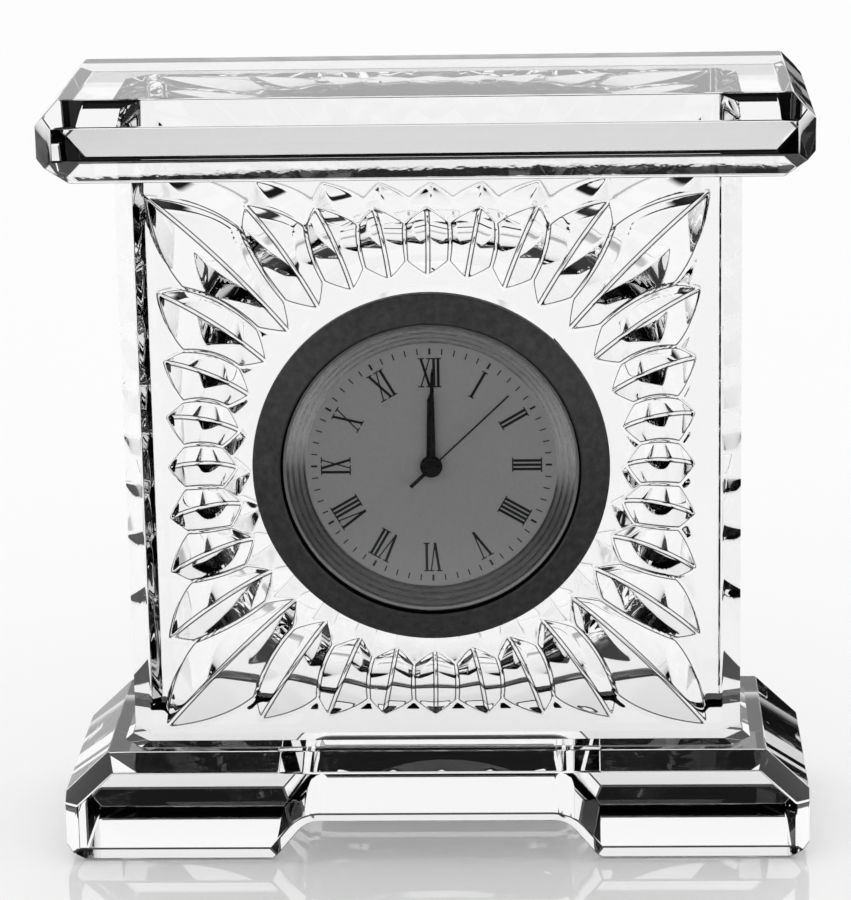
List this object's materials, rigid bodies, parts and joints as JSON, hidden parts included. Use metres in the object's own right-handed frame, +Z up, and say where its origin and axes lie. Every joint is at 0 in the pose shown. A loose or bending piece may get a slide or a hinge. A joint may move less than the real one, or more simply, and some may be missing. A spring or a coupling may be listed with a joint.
{
  "type": "desk clock",
  "caption": "Free-standing clear crystal block with chamfered cap and arched base, radiating mitre cuts and a round pull-out quartz insert with a Roman dial.",
  "frame": {"origin": "middle of the footprint, on the table under the feet", "axes": "+X to the right seen from the front, the dial faces -Y, +Z up"},
  "size_m": [0.106, 0.039, 0.11],
  "materials": {
    "crystal": "clear polished lead crystal",
    "bezel_metal": "dark satin, finely speckled",
    "lens_glass": "flat clear glass",
    "rubber": "black rubber",
    "polished_metal": "polished sloping ring",
    "dial_face": "grey satin dial with black print",
    "hand_black": "black lacquer",
    "steel": "turned steel",
    "brass": "machined brass",
    "ivory_plastic": "moulded plastic",
    "board_green": "circuit board",
    "magnet": "sintered magnet with steel arbor",
    "motor_iron": "laminated iron",
    "copper": "enamelled copper wire",
    "black_plastic": "black moulding",
    "cover_metal": "brushed steel",
    "dark_plastic": "black plastic"
  },
  "bodies": {
    "crystal": {"crystal_block": "crystal"},
    "insert": {"bezel": "bezel_metal", "lens": "lens_glass", "lens_gasket": "rubber", "flange_ring": "polished_metal", "dial": "dial_face", "grip_ring": "rubber", "case_tube": "steel", "movement_ring": "ivory_plastic", "front_plate": "brass", "rear_plate": "brass", "stator": "motor_iron", "coil_core": "motor_iron", "coil_winding": "copper", "circuit_board": "board_green", "quartz_can": "steel", "chip": "black_plastic", "battery_cell": "steel", "battery_holder": "ivory_plastic", "positive_contact": "brass", "negative_contact": "brass", "back_cover": "cover_metal", "back_gasket": "rubber", "plate_screws": "steel", "cover_screws": "steel"},
    "minute": {"centre_wheel": "brass", "minute_hand": "hand_black"},
    "hour": {"hour_wheel": "brass", "hour_hand": "hand_black"},
    "seconds": {"seconds_wheel": "brass", "second_hand": "hand_black"},
    "third": {"third_wheel": "brass"},
    "intermediate": {"intermediate_wheel": "brass"},
    "rotor": {"rotor": "magnet"},
    "motion": {"minute_wheel": "brass"},
    "setting": {"setting_stem": "steel", "setting_knob": "dark_plastic"},
    "hatch": {"battery_hatch": "cover_metal"}
  },
  "joints": [
    {"name": "insert_pull", "type": "slide", "parent": "crystal", "child": "insert", "axis": [0, -1, 0], "range_m": [0, 0.025]},
    {"name": "minute_turn", "type": "hinge", "parent": "insert", "child": "minute", "pos_m": [0, -0.0127, 0.0569], "axis": [0, 1, 0], "continuous": true},
    {"name": "hour_turn", "type": "hinge", "parent": "insert", "child": "hour", "pos_m": [0, -0.0127, 0.0569], "axis": [0, 1, 0], "continuous": true},
    {"name": "seconds_turn", "type": "hinge", "parent": "insert", "child": "seconds", "pos_m": [0, -0.0127, 0.0569], "axis": [0, 1, 0], "continuous": true},
    {"name": "third_turn", "type": "hinge", "parent": "insert", "child": "third", "pos_m": [-0.00537, -0.0127, 0.06], "axis": [0, 1, 0], "continuous": true},
    {"name": "intermediate_turn", "type": "hinge", "parent": "insert", "child": "intermediate", "pos_m": [0.00546, -0.0127, 0.06005], "axis": [0, 1, 0], "continuous": true},
    {"name": "rotor_turn", "type": "hinge", "parent": "insert", "child": "rotor", "pos_m": [0.00892, -0.0127, 0.06205], "axis": [0, 1, 0], "continuous": true},
    {"name": "minute_wheel_turn", "type": "hinge", "parent": "insert", "child": "motion", "pos_m": [0.00031, -0.0127, 0.05331], "axis": [0, 1, 0], "continuous": true},
    {"name": "setting_turn", "type": "hinge", "parent": "insert", "child": "setting", "pos_m": [0.00031, -0.0127, 0.04971], "axis": [0, 1, 0], "continuous": true},
    {"name": "hatch_turn", "type": "hinge", "parent": "insert", "child": "hatch", "pos_m": [0, -0.0127, 0.0634], "axis": [0, 1, 0], "range_deg": [0, 60]}
  ],
  "couplings": [
    {"joint": "rotor_turn", "follows": "seconds_turn", "ratio": 30},
    {"joint": "intermediate_turn", "follows": "seconds_turn", "ratio": -7.5},
    {"joint": "third_turn", "follows": "seconds_turn", "ratio": -0.13333},
    {"joint": "minute_turn", "follows": "seconds_turn", "ratio": 0.016667},
    {"joint": "hour_turn", "follows": "seconds_turn", "ratio": 0.0013889},
    {"joint": "minute_wheel_turn", "follows": "seconds_turn", "ratio": -0.0055556},
    {"joint": "setting_turn", "follows": "seconds_turn", "ratio": 0.016667}
  ]
}
